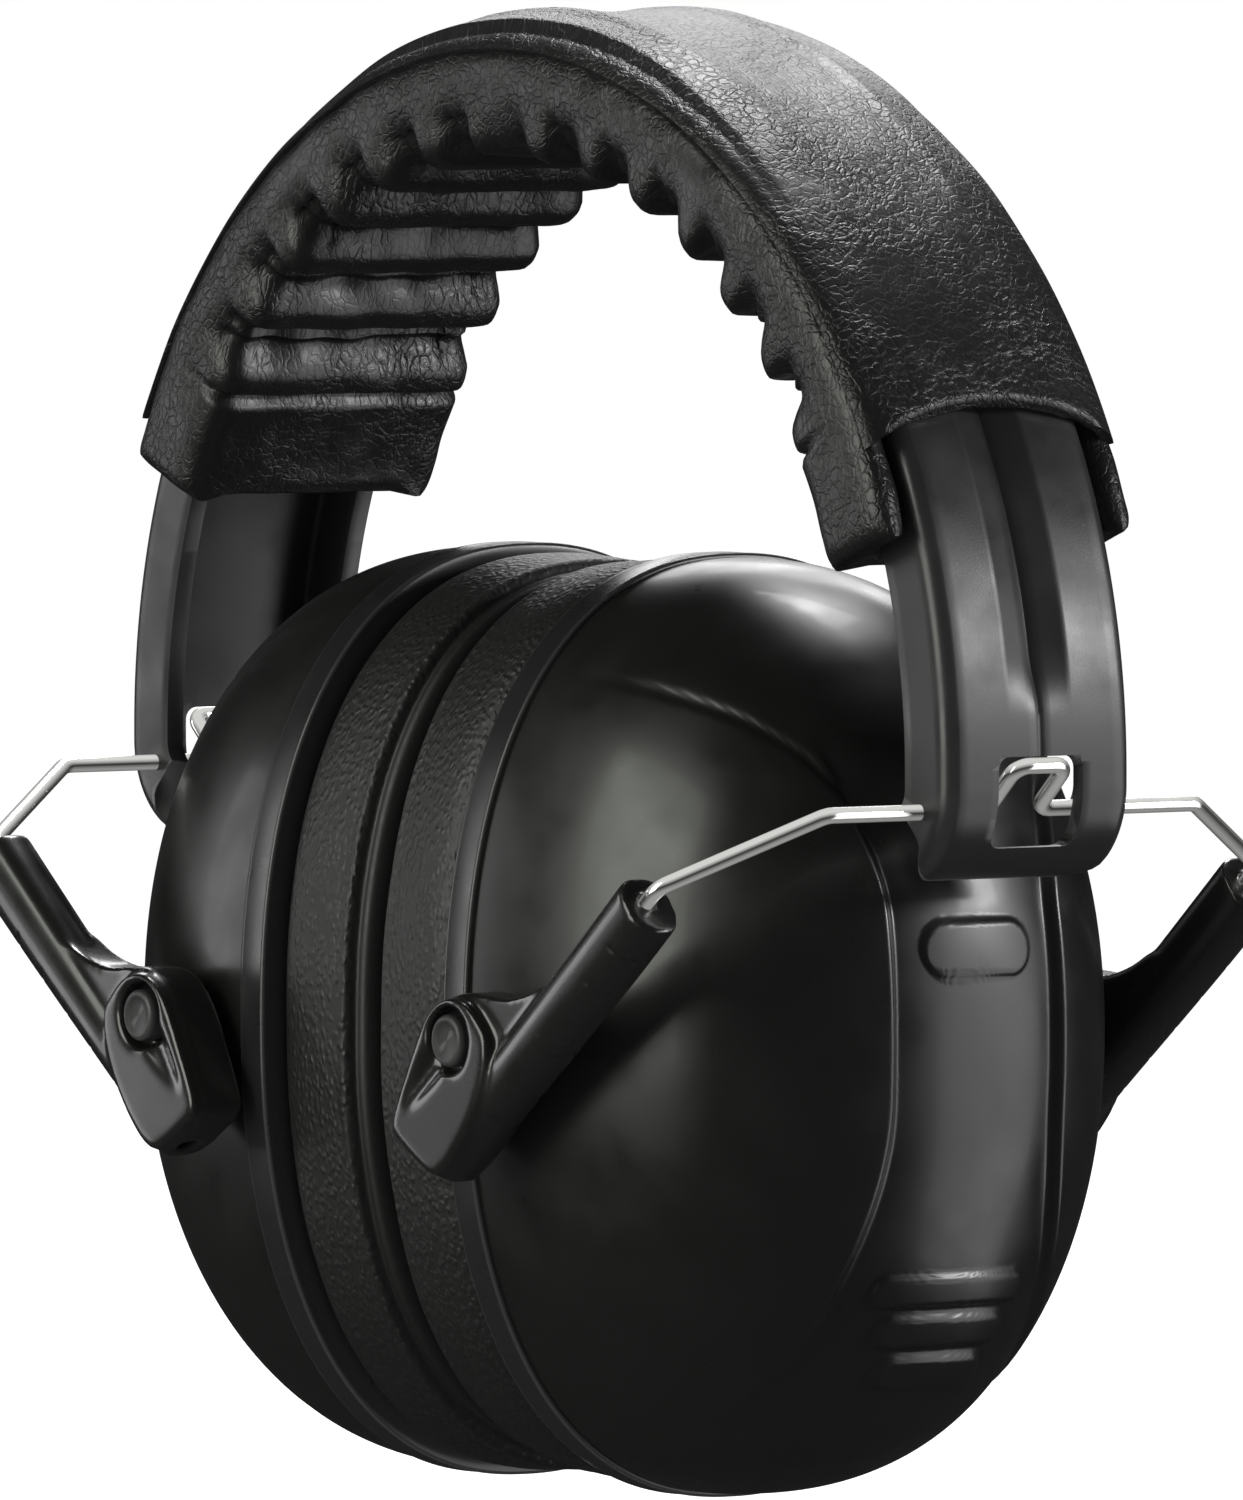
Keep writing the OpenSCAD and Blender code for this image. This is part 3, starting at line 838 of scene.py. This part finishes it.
def rounded_corner(before, here, after, radius, steps=8):
    """Places along a round bend at a corner of a wire."""
    u, v = before - here, after - here
    u, v = u / np.linalg.norm(u), v / np.linalg.norm(v)
    half = math.acos(np.clip(u @ v, -1, 1)) / 2
    centre = here + (u + v) / np.linalg.norm(u + v) * radius / math.sin(half)
    start = here + u * radius / math.tan(half) - centre
    end = here + v * radius / math.tan(half) - centre
    angle = math.acos(np.clip(start @ end / radius ** 2, -1, 1))
    places = []
    for t in np.linspace(0, 1, steps):
        w = (math.sin((1 - t) * angle) * start + math.sin(t * angle) * end) / math.sin(angle)
        places.append(centre + w)
    return places


def even_path(points, step):
    """Adds places so that no piece of the path is longer than step."""
    path = [points[0]]
    for a, b in zip(points[:-1], points[1:]):
        count = max(1, int(np.linalg.norm(b - a) / step))
        path += [a + (b - a) * k / count for k in range(1, count + 1)]
    return np.array(path)


def sweep_round(name, path, radius, count=20):
    """A round rod along a path, its cross sections carried along without twisting."""
    tangent = np.gradient(path, axis=0)
    tangent /= np.linalg.norm(tangent, axis=1, keepdims=True)
    side = np.cross(tangent[0], (0.0, 0.0, 1.0))
    circle = [(math.cos(a), math.sin(a)) for a in turn_angles(count)]
    rings, tex, run = [], [], 0.0
    for k, (p, t) in enumerate(zip(path, tangent)):
        side = side - t * (side @ t)
        side /= np.linalg.norm(side)
        other = np.cross(t, side)
        run += np.linalg.norm(p - path[k - 1]) if k else 0.0
        rings.append([p + radius * (c * side + s * other) for c, s in circle])
        tex.append([(run, c, s) for c, s in circle])
    return tube(name, rings, tex)


def build_pin():
    """Front right pivot pin: domed head with a fine dish, shaft and snap collar."""
    centre, shaft_r, head_r = 0.02, 2.0, 2.9
    dish = [(centre, 0.25), (1.2, 0.22), (2.0, 0.12), (2.35, 0.0), (2.62, 0.08), (2.84, 0.35), (head_r, 0.8)]
    head = [(r, y - PIN_HEAD) for r, y in dish]
    under_head = [(head_r, -40.9), (2.8, -40.72), (shaft_r, -40.7), (shaft_r, -32.9)]
    collar = [(shaft_r, -32.5), (2.6, -32.4), (2.7, -32.2), (2.5, -31.5), (1.9, -31.3), (centre, -31.3)]
    return sharp_by_angle(pivot_lathe("right_front_pivot_pin", head + under_head + collar), 40)


# ---- cup

DOME_P, DOME_Q = 2.2, 2.4  # exponents of the dome's profile, outward and across
PANEL_Y = 2.0  # the centre panel's middle


def dome_point(a, b, inset=0.0):
    """Outer face of the domed shell: a goes round the outline, b from 0 at the rim to 90 degrees
    at the apex. The outline turns from the rim's superellipse to nearly an ellipse."""
    t = np.sin(b) ** (2 / DOME_P)
    k = np.cos(b) ** (2 / DOME_Q)
    y, z = oval(a, (SHELL_W - inset) * k, (SHELL_H - inset) * k, SQUARE + (2.1 - SQUARE) * t)
    return np.stack([RIM_FAR + (DOME - inset) * t, y, z], -1)


def build_shell():
    """Right shell: glossy dome with a sunk centre panel, brow creases and three raised bars."""
    A, B = np.meshgrid(turn_angles(384), np.linspace(0, math.pi / 2 - 0.004, 190))
    P = dome_point(A, B)
    step = 1e-4
    round_way = dome_point(A + step, B) - P
    apex_way = dome_point(A, np.clip(B + step, 0, math.pi / 2 - 1e-6)) - P
    n = unit(np.cross(round_way, apex_way))
    n *= np.sign((n * (P - np.array([RIM_FAR, 0, 0]))).sum(-1, keepdims=True))
    flat = smooth((B - math.radians(74)) / math.radians(10))[..., None]
    n = unit(n * (1 - flat) + np.array([1.0, 0, 0]) * flat)
    outer = P + n * shell_relief(P)[..., None]
    inner = dome_point(A[::4], B[::4], inset=2.2)
    return tube("right_outer_shell_body", np.concatenate([inner[::-1], outer], 0))


def segment_distance(y, z, points):
    """Distance from each place to a polyline and the share of its length there."""
    best = np.full(y.shape, 1e9)
    along = np.zeros(y.shape)
    points = np.asarray(points, float)
    lengths = np.linalg.norm(np.diff(points, axis=0), axis=1)
    total, run = lengths.sum(), 0.0
    for p, q, length in zip(points[:-1], points[1:], lengths):
        d = q - p
        t = np.clip(((y - p[0]) * d[0] + (z - p[1]) * d[1]) / (length ** 2), 0, 1)
        dist = np.hypot(y - p[0] - t * d[0], z - p[1] - t * d[1])
        closer = dist < best
        along = np.where(closer, (run + t * length) / total, along)
        best = np.minimum(best, dist)
        run += length
    return best, along


def panel_half(z):
    """Half width of the sunk centre panel at a height."""
    return 11.6 + 7.5 * smooth((-z - 6.0) / 44.0) + 4.0 * smooth((z - 14.0) / 22.0)


def shell_relief(P):
    """Relief of the shell's outer face, in millimetres along its normal."""
    x, y, z = P[..., 0], P[..., 1] - PANEL_Y, P[..., 2]
    front = smooth((x - (RIM_FAR + 6)) / 8)
    inside = panel_half(z) - np.abs(y)
    sink = smooth(inside / 1.3 + 0.5)
    fade = smooth((z + 48.0) / 30.0) * smooth((34.0 - z) / 9.0)
    relief = -1.4 * sink * fade * front
    for k in range(3):  # bars
        reach = 9.0 - 1.7 * k
        d = np.hypot(np.clip(np.abs(y + 0.4) - reach, 0, None), z + 27.6 + 4.5 * k)
        relief += 0.7 * smooth((1.9 - d) / 0.5) * front
    badge = np.hypot(np.clip(np.abs(y) - 4.5, 0, None), z - 10.5)
    relief += 0.45 * smooth((3.4 - badge) / 0.6) * front
    for side in (-1, 1):  # brow creases
        line = [(side * 28.0, 40.2), (side * 25.0, 38.4), (side * 21.0, 35.6), (side * 17.0, 31.6),
                (side * 13.8, 26.5), (side * 12.4, 20.0)]
        d, along = segment_distance(y, z, line)
        ends = smooth(along / 0.2) * smooth((1 - along) / 0.2)
        relief -= 0.35 * np.exp(-(d / 0.45) ** 2) * ends * (x > RIM_FAR + 5)
    return relief


def build_trim():
    """Right trim ring: flat-faced ring with crisp softened edges and a step towards the shell."""
    near, far = RIM_NEAR, RIM_FAR
    section = [
        (near, -5.0), (near, -0.9), (near, -0.45), (near + 0.08, -0.16), (near + 0.3, 0.0),
        (near + 0.6, -0.02), (near + 1.0, -0.06), (far - 1.0, -0.06), (far - 0.6, -0.02),
        (far - 0.3, 0.0), (far - 0.08, -0.14), (far, -0.4), (far, -0.9), (far, -5.0)
    ]
    return outline_sweep("right_trim_ring_body", section, RIM_W, RIM_H, 288)


def outline_sweep(name, section, w, h, count):
    """Sweeps a section of (x, distance outside the outline) round an outline of the cup's form."""
    y, z = oval(turn_angles(count), w, h)
    dy, dz = (np.gradient(np.r_[v[-2:], v, v[:2]])[2:-2] for v in (y, z))
    length = np.hypot(dy, dz)
    ny, nz = dz / length, -dy / length
    rings = [[(x, y[i] + o * ny[i], z[i] + o * nz[i]) for x, o in section] for i in range(count)]
    return tube(name, rings, closed=True)


def cushion_section():
    """Section of the ear cushion as (x, distance outside its outline): pulled in beside the ring,
    nearly flat on its outside, creased at the welded seam and rolled at the front."""
    front, back = CUSHION_FRONT, RIM_NEAR
    return [
        (back - 0.1, -3.0), (back - 0.6, -2.2), (back - 1.3, -0.7), (back - 2.6, 0.2), (back - 5.0, 0.7),
        (back - 8.5, 0.6), (front + 4.0, 0.2), (front + 2.6, -0.2), (front + 1.5, -0.8), (front + 0.5, -2.0),
        (front + 0.1, -4.2), (front + 0.1, -8.0), (front + 0.4, -10.8), (front + 1.8, -13.0),
        (front + 4.0, -14.2), (back - 6.0, -14.6), (back - 0.1, -14.4)
    ]


def seam_height(places):
    """The skin's welded edge: a raised lip and a groove round the cushion near its front."""
    reach = np.abs(places[:, 1] / CUSHION_W) ** SQUARE + np.abs(places[:, 2] / CUSHION_H) ** SQUARE
    d = places[:, 0] - (CUSHION_FRONT + SEAM_AT)
    height = 0.25 * np.exp(-((d - 1.0) / 0.6) ** 2) - 0.6 * np.exp(-((d + 0.3) / 0.6) ** 2)
    return height * (reach > 0.76)


def build_cushion():
    """Right ear cushion, swollen by cloth pressure, then its welded edge."""
    section = section_loop(cushion_section(), per_mm=1.0)
    obj = outline_sweep("right_ear_cushion_body", section, CUSHION_W, CUSHION_H, 260)
    inflate(obj, pressure=3.0, cap=0.8)
    add(obj, "SUBSURF", levels=1, render_levels=1)
    apply_modifiers(obj)
    push(obj, seam_height)
    ripple(obj, 0.15, 0.08, seed=5.0)
    places = vertex_places(obj.data)
    places[:, 0] = np.maximum(places[:, 0], CONTACT_GAP)
    set_places(obj.data, places)
    return obj


def inflate(obj, pressure, cap, frames=20):
    """Swells a soft piece with cloth pressure, held beside the trim ring, and keeps every point
    within cap millimetres of its start."""
    scene = bpy.context.scene
    start = vertex_places(obj.data)
    held = np.nonzero(start[:, 0] > RIM_NEAR - 1.2)[0]
    obj.vertex_groups.new(name="held").add([int(i) for i in held], 1.0, "REPLACE")
    modifier = obj.modifiers.new("cloth", "CLOTH")
    settings = modifier.settings
    settings.use_pressure = True
    settings.uniform_pressure_force = pressure
    settings.effector_weights.gravity = 0
    settings.vertex_group_mass = "held"
    settings.quality = 6
    scene.frame_start, scene.frame_end = 1, frames
    cache = modifier.point_cache
    cache.frame_start, cache.frame_end = 1, frames
    for frame_number in range(1, frames + 1):
        scene.frame_set(frame_number)
        bpy.context.view_layer.update()
    apply_modifiers(obj)
    scene.frame_set(1)
    move = vertex_places(obj.data) - start
    size = np.linalg.norm(move, axis=1, keepdims=True)
    set_places(obj.data, start + move * np.minimum(1.0, cap / np.maximum(size, 1e-9)))
    obj.vertex_groups.clear()
    add(obj, "SUBSURF", levels=1, render_levels=1)
    apply_modifiers(obj)
    set_tex(obj.data, vertex_places(obj.data))


def build_dust_cloth():
    """Thin cloth behind the ear opening, dished a little by the foam under it."""
    x0 = corner("right_dust_cloth", 0)[0]
    w, h = corner("right_dust_cloth", 1)[1:]
    shares = np.linspace(0.02, 1, 30)
    rings = []
    for offset, way in ((0.0, shares), (0.7, shares[::-1])):
        for k in way:
            y, z = oval(turn_angles(120), w * k, h * k)
            dish = 0.5 * (1 - k ** 2) + 0.12 * np.sin(z * 0.7) * np.sin(y * 0.7) * (1 - k)
            rings.append(np.stack([x0 + offset - dish + 0.55 * (1 - k), y, z], -1))
    return tube("right_dust_cloth_sheet", rings)


def build_foam():
    """Foam liner: a block with rounded shoulders that fills the shell."""
    x0, x1 = corner("right_absorber_foam", 0)[0], corner("right_absorber_foam", 1)[0]
    w, h = corner("right_absorber_foam", 1)[1:]
    profile = ((0.0, 0.02), (0.0, 0.6), (0.0, 0.97), (0.03, 1.0), (0.3, 1.0), (0.55, 0.97),
               (0.75, 0.9), (0.9, 0.8), (0.98, 0.66), (1.0, 0.5), (1.0, 0.02))
    rings = []
    for t, k in profile:
        y, z = oval(turn_angles(96), w * k, h * k)
        rings.append(np.stack([np.full_like(y, x0 + (x1 - x0) * t), y, z], -1))
    obj = tube("right_absorber_foam_block", rings)
    ripple(obj, 0.5, 0.2)
    return obj


# ---- assemble

def both(build_right, slot, body, node):
    """Builds a piece for the right side and its mirror image for the left."""
    right = build_right()
    left = mirror_image(right, right.name.replace("right_", "left_"))
    for side, obj in (("right", right), ("left", left)):
        finish(obj, slot, f"{side}_{body}")
        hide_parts(f"{side}_{node}")


BEND_SPAN = 18.0  # half the height of the span round a shoulder, handed on as blend


def band_pair(right, slot, other=None):
    """Gives half a headband piece its mirror image, or that of the other shape if the halves differ.
    Each is handed the span round its own shoulder, and only its transform is baked."""
    left = mirror_image(other or right, right.name.replace("right_", "left_"))
    if other:
        bpy.data.objects.remove(other)
    for sign, side, obj in ((1, "right", right), (-1, "left", left)):
        start = (sign * (SHOULDER[0] - BEND_SPAN) * MM, 0, (SHOULDER[2] + BEND_SPAN) * MM)
        end = (sign * (SHOULDER[0] + BEND_SPAN) * MM, 0, (SHOULDER[2] - BEND_SPAN) * MM)
        finish(obj, slot, "headband", f"{side}_band_end", blend=(start, end))
    return right, left


def four(build, slot, body, nodes):
    """A front right piece, mirrored to all four corners. In nodes, {} stands for front or rear."""
    front = build()
    rear = mirror_image(front, front.name.replace("front", "rear"), axis=1)
    for obj, end in ((front, "front"), (rear, "rear")):
        left = mirror_image(obj, obj.name.replace("right_", "left_"))
        for side, piece in (("right", obj), ("left", left)):
            finish(piece, slot, f"{side}_{body}")
            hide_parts(f"{side}_{nodes.format(end)}")


spring = band_pair(build_band(), "band_plastic")
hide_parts("headband_crown", "right_band_end")
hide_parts("left_band_end")
pads = band_pair(build_pad(), "pad_leatherette", other=build_pad(PAD_END_FAR))
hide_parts("headband_pad")
covers = band_pair(build_cover(), "cover_leatherette")
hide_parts("headband_cover")

both(build_shell, "shell_plastic", "cup", "outer_shell")
both(build_trim, "trim_plastic", "cup", "trim_ring")
both(build_cushion, "cushion_skin", "cup", "ear_cushion")
both(build_dust_cloth, "dust_cloth", "cup", "dust_cloth")
both(build_foam, "absorber_foam", "cup", "absorber_foam")
four(build_arm, "arm_plastic", "arms", "{}_arm")
four(build_pin, "pin_plastic", "pins", "pivot_pins")
both(build_wire, "spring_wire", "yoke", "yoke_wire")

for side in ("left", "right"):
    give_material(frame["nodes"][f"{side}_cushion_ring"], "ring_plastic")


# ---- studio

FILL_LEVEL, REFLECTED_LEVEL = 0.14, 0.02
VIEW_AZ, VIEW_EL, VIEW_DISTANCE = 54.58, 3.27, 2.454
AIM_RIGHT, AIM_UP = 0.0003, 0.02975
LENS, SENSOR = 526.5, 36.0


def build_stage():
    """A wide pale floor, lower than the cups reach at full slide."""
    floor_z, reach, count = -RIM_H - 45.0, 6000.0, 13
    places = np.linspace(-reach, reach, count)
    rows = [(x, y, floor_z) for x in places for y in places]
    floor = make_object("floor", rows, grid_faces(count, count))
    Material("backdrop").surface(
        Base_Color=(0.35, 0.35, 0.35, 1),
        Roughness=0.9,
        Specular_IOR_Level=0.0,
        Emission_Color=(1, 1, 1, 1),
        Emission_Strength=0.98,
    )
    floor.data.materials.append(MATERIALS["backdrop"])
    floor.visible_glossy = False


def area_light(name, at, target, size, power, color=(1, 1, 1)):
    """A soft box at a place in metres, turned to its target."""
    data = bpy.data.lights.new(name, "AREA")
    data.shape = "RECTANGLE"
    data.size, data.size_y = size
    data.energy = power
    data.color = color
    obj = bpy.data.objects.new(name, data)
    obj.location = at
    direction = Vector(target) - Vector(at)
    obj.rotation_euler = direction.to_track_quat("-Z", "Y").to_euler()
    bpy.context.scene.collection.objects.link(obj)


def build_world():
    """White for the eye, dim for the fill light and nearly dark for reflections."""
    world = bpy.data.worlds.new("studio")
    bpy.context.scene.world = world
    world.use_nodes = True
    nodes, links = world.node_tree.nodes, world.node_tree.links
    background = nodes["Background"]
    background.inputs["Color"].default_value = (1, 1, 1, 1)
    path = nodes.new("ShaderNodeLightPath")
    last = background
    for ray, level in (("Is Diffuse Ray", FILL_LEVEL), ("Is Glossy Ray", REFLECTED_LEVEL)):
        other = nodes.new("ShaderNodeBackground")
        other.inputs["Color"].default_value = (level, level, level, 1)
        mix = nodes.new("ShaderNodeMixShader")
        links.new(path.outputs[ray], mix.inputs["Fac"])
        links.new(last.outputs[0], mix.inputs[1])
        links.new(other.outputs["Background"], mix.inputs[2])
        last = mix
    links.new(last.outputs["Shader"], nodes["World Output"].inputs["Surface"])


def build_camera():
    """Long lens at the reference view, aimed at the middle of the object."""
    az, el = math.radians(VIEW_AZ), math.radians(VIEW_EL)
    back = Vector((math.sin(az) * math.cos(el), -math.cos(az) * math.cos(el), math.sin(el)))
    right = Vector((math.cos(az), math.sin(az), 0))
    aim = right * AIM_RIGHT + back.cross(right) * AIM_UP
    data = bpy.data.cameras.new("camera")
    data.lens = LENS
    data.sensor_width = SENSOR
    data.sensor_height = SENSOR
    camera = bpy.data.objects.new("camera", data)
    camera.location = back * VIEW_DISTANCE
    camera.rotation_euler = (aim - camera.location).to_track_quat("-Z", "Y").to_euler()
    bpy.context.scene.collection.objects.link(camera)
    bpy.context.scene.camera = camera


build_stage()
build_world()
build_camera()
area_light("front_box", (-0.15, -1.25, 0.42), (0, 0, 0.0), (0.85, 1.15), 14, (0.97, 1.0, 0.91))
area_light("top_box", (-0.45, 0.45, 1.05), (0, 0, 0.03), (0.5, 0.35), 11)
area_light("rib_box", (0.85, 0.78, 0.35), (-0.05, 0, 0.06), (0.3, 0.2), 6)
area_light("panel_box", (0.9, 0.95, -0.25), (0, 0, 0.0), (0.9, 1.1), 7)
area_light("rear_box", (-1.0, 0.8, 0.60), (0, 0, 0.08), (0.6, 0.4), 3)
area_light("left_box", (-1.15, -0.62, 0.12), (0, 0, 0.0), (0.3, 0.6), 1.6)

bpy.context.scene.view_settings.view_transform = "Standard"
bpy.context.scene.view_settings.look = "None"
